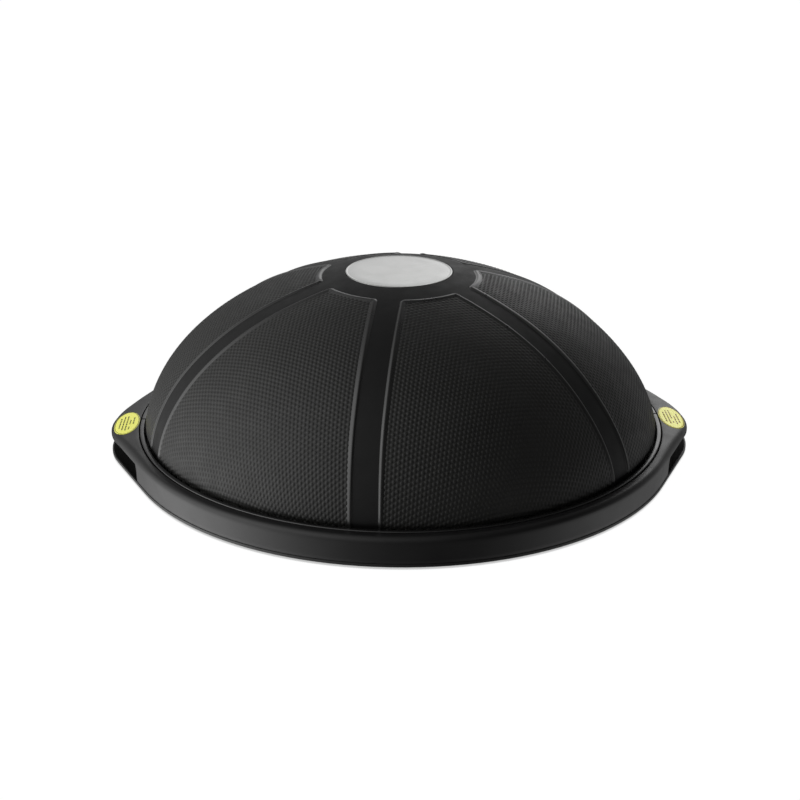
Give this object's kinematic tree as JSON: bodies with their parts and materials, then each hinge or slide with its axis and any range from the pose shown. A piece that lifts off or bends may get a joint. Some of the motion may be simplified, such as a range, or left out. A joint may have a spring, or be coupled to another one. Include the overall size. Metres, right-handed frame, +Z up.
{
  "type": "balance dome trainer",
  "caption": "Inflated rubber half-dome clamped on a round rigid platform with hand-slot ears, used for balance exercises either way up.",
  "frame": {"origin": "on the floor under the middle of the dome, level with the bottom of the feet", "axes": "+Z up through the dome's crown, +X out through the right ear, -Y towards the front"},
  "size_m": [0.64, 0.5998, 0.2033],
  "materials": {
    "shell_plastic": "fine moulded grain, satin",
    "ring_plastic": "fine moulded grain, satin",
    "dome_rubber": "matte skin, pimpled panels, glossier welts",
    "silver_disc": "spun satin with a bright rim",
    "soft_rubber": "matte",
    "plug_plastic": "smooth",
    "zinc_steel": "zinc plated",
    "yellow_label": "printed vinyl"
  },
  "bodies": {
    "platform": {"platform_body": "shell_plastic", "bottom_cover": "shell_plastic", "clamp_ring_front": "ring_plastic", "clamp_ring_rear": "ring_plastic", "dome_skin": "dome_rubber", "bladder_floor": "dome_rubber", "valve_seat": "soft_rubber", "clamp_screws": "zinc_steel", "cover_screws": "zinc_steel", "label_left": "yellow_label", "label_right": "yellow_label", "foot_1": "soft_rubber", "foot_2": "soft_rubber", "foot_3": "soft_rubber", "foot_4": "soft_rubber", "foot_5": "soft_rubber", "foot_6": "soft_rubber", "foot_7": "soft_rubber", "foot_8": "soft_rubber"},
    "crown": {"top_disc": "silver_disc"},
    "plug": {"valve_plug": "plug_plastic"}
  },
  "joints": [
    {"name": "dome_press", "type": "slide", "parent": "platform", "child": "crown", "axis": [0, 0, -1], "range_m": [0, 0.06], "stiffness_N_per_m": 6000, "deforming": ["dome_skin"]},
    {"name": "plug_pull", "type": "slide", "parent": "platform", "child": "plug", "axis": [0, 0, -1], "range_m": [0, 0.014]}
  ]
}
